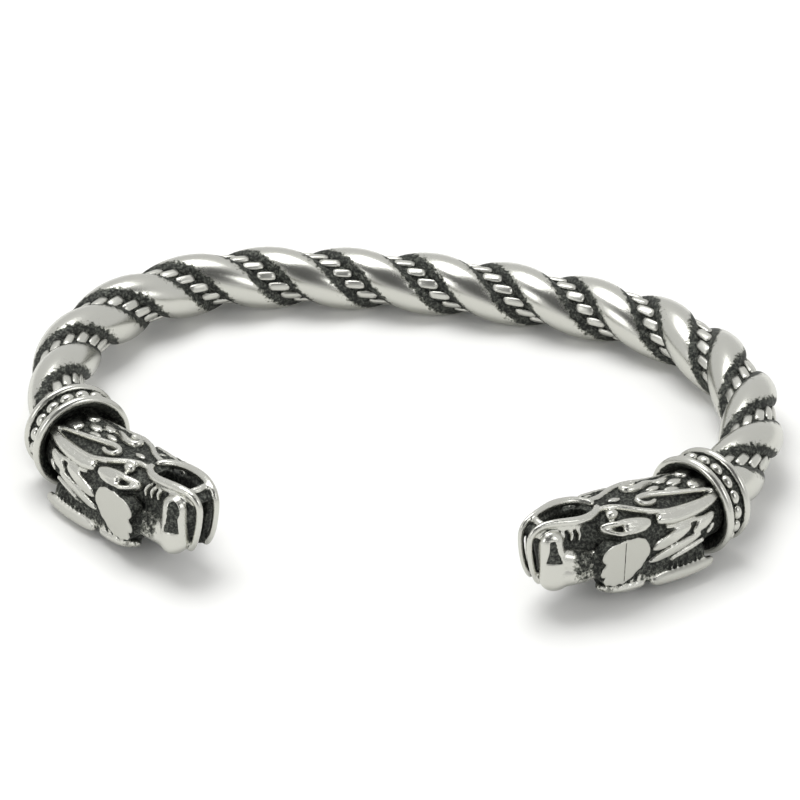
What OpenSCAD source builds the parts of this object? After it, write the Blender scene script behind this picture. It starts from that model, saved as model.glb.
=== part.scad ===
// Open arm ring: two rods twisted like a rope, a beaded wire in each groove,
// and at each end a collar of pearls that holds a dragon's head.
// It is drawn as it lies by itself: on the rims of both collars and the middle of its back.

/* [Hoop] */
// Radius of the flat bend across the back
back_r = 78; // [60:1:100]
// Half of the angle that the back bends through
back_angle = 13.5; // [11:0.5:15]
// Radius of the bend at each side of the wrist
side_r = 21.6; // [20:0.1:24]
// Angle that each side bends through, up to its collar
side_angle = 110.5; // [104:0.5:114]

/* [Rope] */
// Radius over the crests of the rods
rope_r = 3.2; // [2.8:0.05:3.4]
// Width of a rod, across its own length
rod_w = 3.15; // [2.9:0.05:3.2]
// Length of the hoop in which a rod turns once around
twist_pitch = 16.9; // [15.5:0.1:20]
// Where the first rod stands at the middle of the back, from straight up towards the outside
twist_start = 15; // [0:5:175]
// Sides of a rod's section
rod_sides = 10; // [8:1:12]
// Rings of a rod in one turn
rod_rings = 11; // [10:1:16]

/* [Beaded wires] */
// Radius from the rope's middle to the wire's middle
wire_r = 1.95; // [1.92:0.01:2]
// Length of a bead, along the rope
bead_l = 1.9; // [1.4:0.05:1.95]
// Height of a bead, from the rope's middle outwards
bead_h = 1.2; // [1:0.02:1.22]
// Width of the wire between two beads, as a share of a bead
waist = 0.64; // [0.5:0.02:0.8]
// Beads in one turn of the rope
beads_a_turn = 12; // [10:1:14]

/* [Collars] */
// Radius over the front rim
rim_r = 5.15; // [5:0.05:5.4]
// Length of the collar behind its pearls
collar_back = 1.75; // [1.7:0.05:2]
// Number of pearls around a collar
pearls = 17; // [14:1:19]
// Radius of a pearl
pearl_r = 0.64; // [0.5:0.02:0.7]
// Where the left collar's first pearl stands, from straight up towards the outside
pearl_start_left = 8.9; // [0:0.1:21]
// The same for the right collar
pearl_start_right = 1.4; // [0:0.1:21]

/* [Heads] */
// Angle that a head turns inwards, past its collar
head_turn = 14; // [10:1:16]
// Distance that a head's middle stands outwards from its collar's
head_out = 0.55; // [0:0.05:0.7]
// Height of the left head's middle over its collar's
head_rise_left = -0.3; // [-0.35:0.05:0.35]
// The same for the right head
head_rise_right = 0.3; // [-0.35:0.05:0.35]

/* [Hidden] */

// Clear space between pieces that lie side by side
gap = 0.05;
up = [0, 0, 1];

// The hoop's centre line, by its length s from the middle of the back; s is positive to the right
back_len = back_r * back_angle * PI / 180;
side_len = side_r * side_angle * PI / 180;
hoop_half = back_len + side_len;
end_heading = back_angle + side_angle;
back_y = side_r;

function heading(s) =
    let (l = abs(s))
    l < back_len ? l / back_r * 180 / PI : back_angle + (l - back_len) / side_r * 180 / PI;

function centre(s) =
    let (a = heading(s), k = s < 0 ? -1 : 1)
    a < back_angle
        ? [k * back_r * sin(a), back_y - back_r * (1 - cos(a)), 0]
        : [k * (back_r * sin(back_angle) + side_r * (sin(a) - sin(back_angle))),
           back_y - back_r * (1 - cos(back_angle)) - side_r * (cos(back_angle) - cos(a)), 0];

function outward(s) = let (a = heading(s), k = s < 0 ? -1 : 1) [k * sin(a), cos(a), 0];

// A point of a strand that winds around the centre line at radius r
function round_angle(s, start) = start - 360 * s / twist_pitch;
function spoke(s, start) =
    let (a = round_angle(s, start)) sin(a) * outward(s) + cos(a) * up;
function winding(s, start, r) = centre(s) + r * spoke(s, start);
function along(s) = cross(outward(s), up);
function around(s, start) = cross(spoke(s, start), along(s));

// How the hoop lies: the rims and the lowest crest of the back touch the ground
front_rim_u = 1.36;
front_rim_half = 0.66;
rest_y = centre(hoop_half)[1] - sin(end_heading) * front_rim_u;
rest_tilt = atan((rim_r - rope_r) / (back_y - rest_y));
rest_z = rope_r * cos(rest_tilt) + back_y * sin(rest_tilt);

// Sections of the skull: place along the head, half width, top, bottom, squareness
skull = [
    [1.1, 2.9, 2.95, -2.95, 2.0],
    [3.0, 3.5, 3.2, -3.7, 2.2],
    [7.0, 3.9, 3.2, -4.2, 2.6],
    [10.0, 4.1, 3.4, -4.4, 2.8],
    [13.7, 3.9, 3.7, -4.3, 2.8],
    [14.9, 2.6, 3.7, -3.6, 2.4],
    [19.5, 2.0, 3.8, -3.4, 2.4],
    [20.8, 1.2, 3.6, -2.7, 2.4]
];
skull_sides = 14;
// How far the snout leans forward for each millimetre of height, and where the lean begins
lean = 0.2;
lean_from = 12.5;
lean_full = 18;

function at(u, k) = lookup(u, [for (row = skull) [row[0], row[k]]]);
function lean_at(u) = lean * min(1, max(0, (u - lean_from) / (lean_full - lean_from)));

// A point of the skull's skin: angle a is 0 on top, 90 on the outer side and 180 below
function skin(u, a, lift = 0) =
    let (
        half_w = at(u, 1),
        middle = (at(u, 2) + at(u, 3)) / 2,
        half_h = (at(u, 2) - at(u, 3)) / 2,
        power = at(u, 4),
        reach = pow(pow(abs(sin(a)), power) + pow(abs(cos(a)), power), -1 / power),
        v = half_w * reach * sin(a),
        w = half_h * reach * cos(a),
        k = 1 + lift / norm([v, w])
    )
    [u + lean_at(u) * (k * w + middle), k * v, k * w + middle];

function unit(v) = v / norm(v);
function skin_normal(u, a) = unit(skin(u, a, 1) - skin(u, a));

// The rows of a relief line are: place along the head, angle around it, width, height
ear_outer = [
    [2.7, 53, 0.5, 0.8], [3.6, 55, 1.0, 1.1], [7.2, 49, 1.1, 1.0], [10.4, 29, 0.7, 0.7],
    [12.6, 14, 0.6, 0.6], [13.5, 22, 0.4, 0.5]
];
ear_inner = [
    [3.5, 51, 0.5, 0.7], [4.4, 29, 0.5, 0.8], [8.1, 12, 0.5, 0.6], [9.4, 17, 0.5, 0.6],
    [8.9, 26, 0.5, 0.5], [8.1, 23, 0.4, 0.4]
];
cheek_loop = [
    [9.6, 48, 0.5, 0.6], [11.4, 42, 0.6, 0.8], [13.8, 43, 0.6, 0.7],
    [14.0, 50, 0.6, 0.7], [11.6, 54, 0.7, 0.8], [9.7, 50, 0.5, 0.6]
];
jaw_strip = [
    [10.4, 138, 0.6, 0.5], [12.7, 142, 1.0, 0.9], [14.3, 128, 0.6, 0.6]
];
side_fold = [
    [3.2, 122, 0.5, 0.5], [6.0, 118, 0.8, 0.7], [9.6, 105, 0.4, 0.4]
];
relief_sides = 4;

// Rows of the beard: place along the head, distance outwards, height, radius
beard = [
    [2.9, 4.25, -3.9, 0.3], [4.0, 4.2, -4.0, 0.6], [7.0, 4.0, -4.2, 0.7],
    [9.6, 3.6, -4.2, 0.6], [11.4, 2.2, -3.5, 0.4]
];
beard_sides = 6;

// Rows of a lip: place along the head, distance from the middle, height
lip = [
    [13.6, 0.25, 3.75], [14.3, 1.2, 3.85], [15.9, 1.8, 4.0], [18.4, 1.3, 4.0],
    [21.2, 0.85, 3.9], [21.7, 0.8, 3.2], [21.1, 0.8, -1.6], [20.4, 0.9, -3.3]
];
lip_r = 0.48;
lip_sides = 5;

// Slot between the lips: half width, and where it begins
mouth_half = 0.42;
mouth_from = 18.2;
// Ends of the oval hole on top that the slot opens into: place along the head, radius
mouth_hole = [[15.6, 1.15], [18.6, 0.6]];
hole_floor = 2.2;
// Small bar that bridges the lips: place along the head, height of its underside, thickness
bar = [20.2, 2.9, 0.7];
bar_half = 0.8;

// Ends of the bulge at the side of the snout, and of the neck behind it:
// place along the head, distance outwards, height, radius
bulge_ends = [[19.6, 1.7, 1.8, 1.3], [18.8, 1.9, -2.2, 1.5]];
neck_ends = [[18.9, 1.8, -1.8, 1.3], [15.0, 2.0, -1.6, 1.1]];

// Eye: place along the head, angle around it, radius
eye = [12.7, 26, 0.6];

// Outline of the cheek plate, by place along the head and height
cheek_plate = [
    [9.5, -0.9], [10.6, 0.8], [12.0, 1.5], [13.6, 1.4], [14.2, 0.6], [13.9, -0.1], [14.5, -0.9],
    [14.2, -2.0], [14.5, -2.9], [13.5, -3.8], [12.4, -3.4], [10.8, -2.5]
];
plate_out = 4.35;
plate_t = 0.9;

// Raised lozenges: place along the head, angle around it, length, width
lozenges = [
    [3.4, 0, 1.9, 1.2], [5.4, 14, 1.9, 1.1], [5.4, -14, 1.9, 1.1], [6.9, 80, 4.2, 1.3],
    [6.9, -80, 4.2, 1.3], [4.0, 100, 3.0, 1.1], [4.0, -100, 3.0, 1.1], [5.0, 180, 2.6, 1.8],
    [8.6, 180, 2.6, 1.8]
];
lozenge_h = 0.35;

// Short wrinkles behind the bulge: place along the head, then the angles that all of them span
wrinkles = [15.9, 16.8];
wrinkle_top = 32;
wrinkle_foot = 56;
wrinkle_r = 0.28;

// Solid between rings of points that all have the same number of points
module loft(rings) {
    n = len(rings[0]);
    last = len(rings) - 1;
    polyhedron(
        points = [for (ring = rings) each ring],
        faces = concat(
            [[for (i = [0:n - 1]) i]],
            [for (j = [0:last - 1]) for (i = [0:n - 1]) let (k = (i + 1) % n)
                each [[j * n + i, (j + 1) * n + i, (j + 1) * n + k],
                      [j * n + i, (j + 1) * n + k, j * n + k]]],
            [[for (i = [n - 1:-1:0]) last * n + i]]
        ),
        convexity = 8
    );
}

// Oval ring of points around a place, between two directions
function oval(place, side, rise, half_w, half_h, sides) =
    [for (i = [0:sides - 1])
        let (a = 360 * (i + 0.5) / sides) place + half_w * cos(a) * side + half_h * sin(a) * rise];

// The same, square to the direction of travel
function oval_across(place, travel, out, half_w, half_h, sides) =
    let (side = unit(cross(out, travel)))
    oval(place, side, cross(unit(travel), side), half_w, half_h, sides);

function travel_at(points, i) =
    points[min(i + 1, len(points) - 1)] - points[max(i - 1, 0)];

// The rope runs into the collars and ends a little short of the web across each of them
web_back = 0.5;
web_front = 0.15;
rope_half = hoop_half - web_back - 0.1;

// Round rod, drawn by its sections square to the rope
module strand(start) {
    count = 2 * round(rope_half * rod_rings / twist_pitch);
    half_h = (rope_r - gap) / 2;
    r = gap + half_h;
    half_w = rod_w / 2 / cos(atan(2 * PI * r / twist_pitch));
    loft([for (i = [0:count])
        let (s = rope_half * (2 * i / count - 1))
        oval(winding(s, start, r), around(s, start), spoke(s, start), half_w, half_h, rod_sides)
    ]);
}

// Wire of flat beads that lie along the rope, with a ring at each bead and at each waist
module beaded_wire(start) {
    run = rope_half - bead_l / 2;
    beads = 2 * round(run * beads_a_turn / twist_pitch);
    loft([for (i = [0:2 * beads])
        let (s = run * (i / beads - 1), swell = i % 2 == 1 ? 1 : waist)
        oval(winding(s, start, wire_r), along(s), spoke(s, start),
             swell * bead_l / 2, swell * bead_h / 2, 10)
    ]);
}

// Collar in its own frame: its axis lies along X and its pearls stand around the origin
module collar(pearl_start) {
    bore_r = rope_r + 0.12;
    floor_r = rim_r - 0.85;
    back_rim_half = 0.42;
    back_rim_r = rim_r - 0.25;
    mouth_r = floor_r + 0.05;
    mouth_end = front_rim_u + 1;
    pearl_sunk = 0.08;
    rotate([0, 90, 0]) {
        rotate_extrude($fn = 96) difference() {
            union() {
                translate([0, -collar_back]) square([floor_r, collar_back + front_rim_u]);
                translate([back_rim_r - back_rim_half, -collar_back + back_rim_half])
                    circle(r = back_rim_half, $fn = 24);
                translate([rim_r - front_rim_half, front_rim_u]) circle(r = front_rim_half, $fn = 32);
            }
            // Socket of the rope, and the recess that the neck comes out of
            translate([0, -collar_back]) square([bore_r, collar_back - web_back]);
            polygon([
                [0, web_front], [bore_r + 0.15, web_front], [mouth_r, front_rim_u],
                [mouth_r, mouth_end], [0, mouth_end]
            ]);
        }
        for (i = [0:pearls - 1])
            rotate([0, 0, 180 - pearl_start - 360 * i / pearls])
                translate([floor_r - pearl_sunk, 0, 0]) rotate([0, 90, 0]) sphere(r = pearl_r, $fn = 24);
    }
}

// Raised line that follows the skin, on one side of the head
module relief(rows) {
    sunk = 0.25;
    points = [for (row = rows) skin(row[0], row[1])];
    loft([for (i = [0:len(rows) - 1])
        let (
            out = skin_normal(rows[i][0], rows[i][1]),
            half_h = (rows[i][3] + sunk) / 2
        )
        oval_across(points[i] + (half_h - sunk) * out, travel_at(points, i), out,
                    rows[i][2] / 2, half_h, relief_sides)
    ]);
}

// Rod that tapers along points of the form place, outwards, height and radius
module tapered(rows, sides) {
    points = [for (row = rows) [row[0], row[1], row[2]]];
    loft([for (i = [0:len(rows) - 1])
        oval_across(points[i], travel_at(points, i), [0, 0.6, -0.8], rows[i][3], rows[i][3], sides)
    ]);
}

module lip_strip() {
    loft([for (i = [0:len(lip) - 1])
        let (
            out = lip[i][0] < 21 ? [0.1, 0, 1] : [1, 0, 0.25]
        )
        oval_across(lip[i], travel_at(lip, i), out, lip_r, lip_r * 1.1, lip_sides)
    ]);
}

module lozenge(row) {
    long = row[2] / 2;
    turn = row[3] / 2 / at(row[0], 1) * 180 / PI;
    sunk = 0.3;
    bevel = 0.7;
    low = [skin(row[0] - long, row[1], -sunk), skin(row[0], row[1] - turn, -sunk),
           skin(row[0] + long, row[1], -sunk), skin(row[0], row[1] + turn, -sunk)];
    top = [for (p = low) p + (sunk + lozenge_h) * skin_normal(row[0], row[1])];
    middle = (top[0] + top[2]) / 2;
    loft([low, [for (p = top) middle + bevel * (p - middle)]]);
}

module skull_body() {
    loft([for (row = skull)
        [for (i = [0:skull_sides - 1]) skin(row[0], -360 * (i + 0.5) / skull_sides)]
    ]);
}

// Polished bulge at the side of the snout, with the neck that joins it to the cheek
module bulge() {
    hull() for (row = bulge_ends) translate([row[0], row[1], row[2]]) sphere(r = row[3], $fn = 8);
    hull() for (row = neck_ends) translate([row[0], row[1], row[2]]) sphere(r = row[3], $fn = 6);
}

module wrinkle(u) {
    back = 0.2;
    hull() {
        translate(skin(u, wrinkle_top)) sphere(r = wrinkle_r, $fn = 5);
        translate(skin(u - back, wrinkle_foot)) sphere(r = wrinkle_r, $fn = 5);
    }
}

module side_details() {
    relief(ear_outer);
    relief(ear_inner);
    relief(cheek_loop);
    relief(jaw_strip);
    relief(side_fold);
    tapered(beard, beard_sides);
    translate(skin(eye[0], eye[1])) sphere(r = eye[2], $fn = 6);
    translate([0, plate_out, 0]) rotate([90, 0, 0]) linear_extrude(height = plate_t) polygon(cheek_plate);
    lip_strip();
    bulge();
    for (u = wrinkles) wrinkle(u);
}

// Dragon's head in its own frame: the snout points along X and the outer cheek along Y
module head() {
    difference() {
        union() {
            skull_body();
            side_details();
            mirror([0, 1, 0]) side_details();
            for (row = lozenges) lozenge(row);
        }
        translate([mouth_from, -mouth_half, -rim_r]) cube([2 * rim_r, 2 * mouth_half, 2 * rim_r]);
        hull() for (row = mouth_hole)
            translate([row[0], 0, hole_floor]) cylinder(r = row[1], h = rim_r, $fn = 8);
    }
    translate([bar[0], -bar_half, bar[1]]) cube([bar[2], 2 * bar_half, bar[2]]);
}

// Places a collar or a head at the hoop's right end; the left end is its mirror image
function end_place(turn, out) =
    let (a = end_heading + turn) centre(hoop_half) + out * [sin(a), cos(a), 0];

module at_right_end(turn, out, rise) {
    a = end_heading + turn;
    middle = end_place(turn, out);
    multmatrix([
        [cos(a), sin(a), 0, middle[0]],
        [-sin(a), cos(a), 0, middle[1]],
        [0, 0, 1, rise]
    ]) children();
}

module right_head(rise) {
    at_right_end(head_turn, head_out, rise) head();
}

module right_collar(pearl_start) {
    at_right_end(0, 0, 0) collar(pearl_start);
}

// Lays the hoop down and puts the middle of its box over the origin. The back of the box is the
// rope's outside, and its front is the foot of a snout's bulge.
head_heading = end_heading + head_turn;
foremost = bulge_ends[1];
foremost_y = end_place(head_turn, head_out)[1]
    - foremost[0] * sin(head_heading) + foremost[1] * cos(head_heading);
box_back = back_y * cos(rest_tilt) + rope_r;
box_front = foremost_y * cos(rest_tilt) + foremost[2] * sin(rest_tilt) - foremost[3];
module laid() {
    translate([0, -(box_back + box_front) / 2, rest_z]) rotate([-rest_tilt, 0, 0]) children();
}

module strand_a() { color("silver") laid() strand(twist_start); }
module strand_b() { color("silver") laid() strand(twist_start + 180); }
module beaded_wire_a() { color("gray") laid() beaded_wire(twist_start + 90); }
module beaded_wire_b() { color("gray") laid() beaded_wire(twist_start + 270); }
module collar_left() { color("lightgray") laid() mirror([1, 0, 0]) right_collar(pearl_start_left); }
module collar_right() { color("lightgray") laid() right_collar(pearl_start_right); }
module head_left() { color("darkgray") laid() mirror([1, 0, 0]) right_head(head_rise_left); }
module head_right() { color("darkgray") laid() right_head(head_rise_right); }

strand_a();
strand_b();
beaded_wire_a();
beaded_wire_b();
collar_left();
collar_right();
head_left();
head_right();
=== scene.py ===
import math

import bmesh
import bpy
import numpy as np
from mathutils import Matrix, Vector
from mathutils.bvhtree import BVHTree


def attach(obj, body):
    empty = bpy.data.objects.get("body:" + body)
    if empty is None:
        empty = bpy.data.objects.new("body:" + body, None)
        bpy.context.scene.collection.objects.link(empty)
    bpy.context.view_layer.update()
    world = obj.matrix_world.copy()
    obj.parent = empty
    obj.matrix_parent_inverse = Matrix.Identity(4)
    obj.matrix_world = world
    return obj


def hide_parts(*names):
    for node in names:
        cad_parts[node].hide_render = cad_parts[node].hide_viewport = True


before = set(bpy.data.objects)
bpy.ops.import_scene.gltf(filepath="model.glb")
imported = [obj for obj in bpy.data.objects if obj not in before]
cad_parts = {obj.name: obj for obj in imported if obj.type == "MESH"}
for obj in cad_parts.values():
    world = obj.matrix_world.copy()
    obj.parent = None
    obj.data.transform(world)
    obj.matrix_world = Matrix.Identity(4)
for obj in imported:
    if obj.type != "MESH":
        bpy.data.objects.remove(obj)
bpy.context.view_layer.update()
mm = 0.001

# The hoop's centre line and the twist of its rope, in millimetres and degrees
hoop = {
    "backRadius": 78.0,
    "backAngle": 13.5,
    "sideRadius": 21.6,
    "sideAngle": 110.5,
    "ropeRadius": 3.2,
    "pitch": 16.9,
    "start": 15.0,
    "webBack": 0.5,          # from the end of the centre line back to the collar's web
    "endGap": 0.1,           # between that web and the rope
}
backLength = math.radians(hoop["backAngle"]) * hoop["backRadius"]
hoopHalf = backLength + math.radians(hoop["sideAngle"]) * hoop["sideRadius"]
endHeading = hoop["backAngle"] + hoop["sideAngle"]
ropeHalf = hoopHalf - hoop["webBack"] - hoop["endGap"]

collar = {
    "rimRadius": 5.15,       # over the front rim
    "rimHalf": 0.45,         # half the front rim's thickness
    "rimPlace": 1.46,        # the front rim's middle, in front of the pearls
    "backRim": 4.9,
    "backRimHalf": 0.42,
    "back": 1.75,            # length behind the pearls
    "backFace": 3.7,         # radius of the points on the back's flat face
    "boreGap": 0.12,         # between the rope and the bore
    "floor": 4.3,            # radius of the blackened groove
    "fillet": 0.12,          # rounding of its corners
    "filletRise": 0.1,
    "recess": [(1.36, 3.9), (0.9, 3.67), (0.25, 3.22), (0.15, 0.0)],  # inside the front rim: along, radius
    "segments": 120,
    "merge": 1e-4,
    "pearls": 17,
    "pearlReach": 4.36,
    "pearlLong": 0.76,       # half lengths of a pearl: around, along and outwards
    "pearlWide": 0.54,
    "pearlHigh": 0.5,
    "grooveBlack": (0.12, 0.5),   # heights over the floor between which the black is polished off
    "pearlBlack": (0.04, 0.16),   # and on the pearls
    "startLeft": 8.9,
    "startRight": 1.4,
}

headPlace = {
    "turn": 14.0,            # how far a head turns in from its collar
    "out": 0.55,
    "riseLeft": -0.3,
    "riseRight": 0.3,
}


def headingAt(s):
    l = abs(s)
    if l < backLength:
        return math.degrees(l / hoop["backRadius"])
    return hoop["backAngle"] + math.degrees((l - backLength) / hoop["sideRadius"])


def centreAt(s):
    a, k = math.radians(headingAt(s)), (-1 if s < 0 else 1)
    bend = min(a, math.radians(hoop["backAngle"]))
    big, small = hoop["backRadius"], hoop["sideRadius"]
    return Vector((
        k * (big * math.sin(bend) + small * (math.sin(a) - math.sin(bend))),
        small - big * (1 - math.cos(bend)) - small * (math.cos(bend) - math.cos(a)),
        0,
    ))


def outwardAt(s):
    a, k = math.radians(headingAt(s)), (-1 if s < 0 else 1)
    return Vector((k * math.sin(a), math.cos(a), 0))


def spokeAt(s, start):
    a = math.radians(start - 360 * s / hoop["pitch"])
    return math.sin(a) * outwardAt(s) + math.cos(a) * Vector((0, 0, 1))


endCentre = centreAt(hoopHalf)


def endMatrix(turn, out, rise):
    a = math.radians(endHeading + turn)
    middle = endCentre + out * Vector((math.sin(a), math.cos(a), 0))
    return Matrix((
        (math.cos(a), math.sin(a), 0, middle.x),
        (-math.sin(a), math.cos(a), 0, middle.y),
        (0, 0, 1, rise),
        (0, 0, 0, 1),
    ))


# Lays the hoop down as part.scad does, and turns millimetres into metres
rimY = endCentre.y - math.sin(math.radians(endHeading)) * collar["rimPlace"]
tilt = math.atan((collar["rimRadius"] - hoop["ropeRadius"]) / (hoop["sideRadius"] - rimY))
restZ = hoop["ropeRadius"] * math.cos(tilt) + hoop["sideRadius"] * math.sin(tilt)
foremost = (18.8, 1.9, -2.2, 1.5)  # the foot of a snout's bulge: along, outwards, up and radius
foremostY = (endMatrix(headPlace["turn"], headPlace["out"], 0) @ Vector(foremost[:3])).y
boxBack = hoop["sideRadius"] * math.cos(tilt) + hoop["ropeRadius"]
boxFront = foremostY * math.cos(tilt) + foremost[2] * math.sin(tilt) - foremost[3]
laid = (
    Matrix.Scale(mm, 4)
    @ Matrix.Translation((0, -(boxBack + boxFront) / 2, restZ))
    @ Matrix.Rotation(-tilt, 4, "X")
)
mirrorX = Matrix.Scale(-1, 4, (1, 0, 0))


def addNode(tree, kind, links=None, **settings):
    # adds a node, then sets its settings and its inputs: a socket, or a node's first one, is linked
    node = tree.nodes.new(kind)
    for name, value in settings.items():
        setattr(node, name, value)
    for name, value in (links or {}).items():
        if isinstance(value, bpy.types.Node):
            value = value.outputs[0]
        if isinstance(value, bpy.types.NodeSocket):
            tree.links.new(value, node.inputs[name])
        else:
            node.inputs[name].default_value = value
    return node


def colourOf(text):
    parts = [int(text[i:i + 2], 16) / 255 for i in (1, 3, 5)]
    return [c / 12.92 if c <= 0.04045 else ((c + 0.055) / 1.055) ** 2.4 for c in parts] + [1.0]


def smoothStep(low, high, x):
    t = np.clip((x - low) / (high - low), 0, 1)
    return t * t * (3 - 2 * t)


# Materials

metal = {
    "bright": "#c6c6bf",     # polished steel, a little warm
    "film": "#8d8e86",       # thin oxide at the edge of the black
    "black": "#1f211e",      # antiquing left in the recesses
    "stops": (0.34, 0.46, 0.62),  # depths of soot at which those three are reached
    "speck": "#83867d",      # grains that shine through the black
    "speckShare": 0.6,
    "speckSize": 0.3,        # in millimetres, as the two below
    "pitSize": 0.22,         # casting pits
    "grainSize": 0.5,        # ragged edge of the black
    "pitDepth": 0.05,
    "ragged": 0.32,          # how far the grain shifts the depth of soot
    "satin": 0.3,            # roughness that brushing adds
    "blackRoughness": 0.62,
    "blackMetallic": 0.55,
}


def antiquedSteel(name, polish, pits):
    # cast stainless steel, dipped black and then polished: mirror highlights on what stands up,
    # dull black in what lies low
    material = bpy.data.materials.new(name)
    material.use_nodes = True
    tree = material.node_tree
    tree.nodes.clear()
    place = addNode(tree, "ShaderNodeTexCoord").outputs["Object"]
    # soot: antiquing, and on the heads also the painted dark reflection in each bulge's dent
    soot, satin = (
        addNode(tree, "ShaderNodeAttribute", attribute_name=label).outputs["Fac"]
        for label in ("soot", "satin"))
    grain, fine, pit = (
        addNode(tree, "ShaderNodeTexNoise", {
            "Vector": place, "Scale": 1 / (metal[size] * mm), "Detail": detail, "Roughness": rough})
        for size, detail, rough in (("grainSize", 4.0, 0.7), ("speckSize", 3.0, 0.75), ("pitSize", 3.0, 0.6)))
    spread = addNode(tree, "ShaderNodeMapRange", {
        "Value": grain, "From Min": 0.3, "From Max": 0.7,
        "To Min": -metal["ragged"], "To Max": metal["ragged"]})
    depth = addNode(tree, "ShaderNodeMath", {0: soot, 1: spread}, operation="ADD")
    colour = addNode(tree, "ShaderNodeValToRGB", {"Fac": depth})
    clean, filmed, full = metal["stops"]
    stops = colour.color_ramp.elements
    stops[0].position, stops[0].color = clean, colourOf(metal["bright"])
    stops[1].position, stops[1].color = full, colourOf(metal["black"])
    middle = stops.new(filmed)
    middle.color = colourOf(metal["film"])
    specks = addNode(tree, "ShaderNodeMapRange", {"Value": fine, "From Min": 0.46, "From Max": 0.68})
    covered, dull, shine = (
        addNode(tree, "ShaderNodeMapRange", {
            "Value": depth, "From Min": low, "From Max": high, "To Min": begin, "To Max": end})
        for low, high, begin, end in (
            (filmed, full, 0.0, metal["speckShare"]),
            (0.3, 0.7, polish, metal["blackRoughness"]),
            (0.5, 0.8, 1.0, metal["blackMetallic"])))
    speckled = addNode(tree, "ShaderNodeMath", {0: specks, 1: covered}, operation="MULTIPLY")
    mixed = addNode(tree, "ShaderNodeMix", {
        "Factor": speckled, "A": colour, "B": colourOf(metal["speck"])}, data_type="RGBA")
    brushed = addNode(tree, "ShaderNodeMath", {
        0: satin, 1: metal["satin"], 2: dull}, operation="MULTIPLY_ADD")
    hollow = addNode(tree, "ShaderNodeMapRange", {
        "Value": pit, "From Min": 0.56, "From Max": 0.72, "To Min": 1.0, "To Max": 0.0})
    bump = addNode(tree, "ShaderNodeBump", {
        "Strength": pits, "Distance": metal["pitDepth"] * mm, "Height": hollow})
    shader = addNode(tree, "ShaderNodeBsdfPrincipled", {
        "Base Color": mixed.outputs["Result"], "Metallic": shine, "Roughness": brushed, "Normal": bump})
    addNode(tree, "ShaderNodeOutputMaterial", {"Surface": shader})
    return material


rodSteel = antiquedSteel("polishedCastSteelRods", 0.24, 0.08)
beadSteel = antiquedSteel("polishedCastSteelBeads", 0.36, 0.2)
collarSteel = antiquedSteel("turnedPolishedSteelCollars", 0.26, 0.1)
headSteel = antiquedSteel("polishedCastSteelHeads", 0.27, 0.25)


card = {
    "colour": "#f6f6f4",
    "roughness": 0.9,
    "teethPerMetre": 900.0,  # the paper's tooth, drawn as coarse as it can show
    "toothDepth": 0.1,       # in millimetres
    "toothStrength": 0.02,
}


def cardMaterial():
    # matt white card, laid flat as a studio floor
    material = bpy.data.materials.new("mattWhiteCard")
    material.use_nodes = True
    tree = material.node_tree
    shader = tree.nodes["Principled BSDF"]
    place = addNode(tree, "ShaderNodeTexCoord").outputs["Object"]
    tooth = addNode(tree, "ShaderNodeTexNoise", {"Vector": place, "Scale": card["teethPerMetre"]})
    bump = addNode(tree, "ShaderNodeBump", {
        "Strength": card["toothStrength"], "Distance": card["toothDepth"] * mm, "Height": tooth})
    tree.links.new(bump.outputs["Normal"], shader.inputs["Normal"])
    shader.inputs["Base Color"].default_value = colourOf(card["colour"])
    shader.inputs["Roughness"].default_value = card["roughness"]
    return material


# Mesh helpers

def newObject(name, data):
    made = bpy.data.objects.new(name, data)
    bpy.context.scene.collection.objects.link(made)
    return made


def meshObject(name, verts, faces, edges=()):
    mesh = bpy.data.meshes.new(name)
    mesh.from_pydata([tuple(v) for v in verts], list(edges), list(faces))
    mesh.update()
    return newObject(name, mesh)


def flatten(source, name):
    # the evaluated object as a plain mesh of its own, without its modifiers
    graph = bpy.context.evaluated_depsgraph_get()
    mesh = bpy.data.meshes.new_from_object(source.evaluated_get(graph), depsgraph=graph)
    mesh.name = name
    old = source.data
    source.modifiers.clear()
    bpy.data.objects.remove(source)
    bpy.data.meshes.remove(old)
    return newObject(name, mesh)


def joined(name, parts):
    # one mesh object from several, with the materials of the first
    tool = bmesh.new()
    for part in parts:
        tool.from_mesh(part.data)
    mesh = bpy.data.meshes.new(name)
    tool.to_mesh(mesh)
    tool.free()
    for material in parts[0].data.materials:
        mesh.materials.append(material)
    for part in parts:
        old = part.data
        bpy.data.objects.remove(part)
        bpy.data.meshes.remove(old)
    return newObject(name, mesh)


def turnOut(mesh, merge=0.0):
    # turns the faces outwards, after points nearer than merge have been made one
    tool = bmesh.new()
    tool.from_mesh(mesh)
    if merge:
        bmesh.ops.remove_doubles(tool, verts=tool.verts, dist=merge)
    bmesh.ops.recalc_face_normals(tool, faces=tool.faces)
    tool.to_mesh(mesh)
    tool.free()


def rowsOf(items, field, width, kind=np.float32):
    # one field of a mesh's points, edges or attribute, as rows of numbers
    values = np.empty(len(items) * width, kind)
    items.foreach_get(field, values)
    return values.reshape(-1, width)


def pointsOf(mesh):
    return rowsOf(mesh.vertices, "co", 3).astype(float)


def setShare(mesh, name, values):
    layer = mesh.attributes.get(name) or mesh.attributes.new(name, "FLOAT", "POINT")
    layer.data.foreach_set("value", np.asarray(values, np.float32))


def newTree(name, **inputs):
    # a tree of geometry nodes with named inputs, listed by the kind of their sockets
    tree = bpy.data.node_groups.new(name, "GeometryNodeTree")
    sockets = [("INPUT", "Geometry", "Geometry"), ("OUTPUT", "Geometry", "Geometry")]
    sockets += [("INPUT", kind, label) for kind, labels in inputs.items() for label in labels]
    for way, kind, label in sockets:
        tree.interface.new_socket(label, in_out=way, socket_type="NodeSocket" + kind)
    return tree


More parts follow.
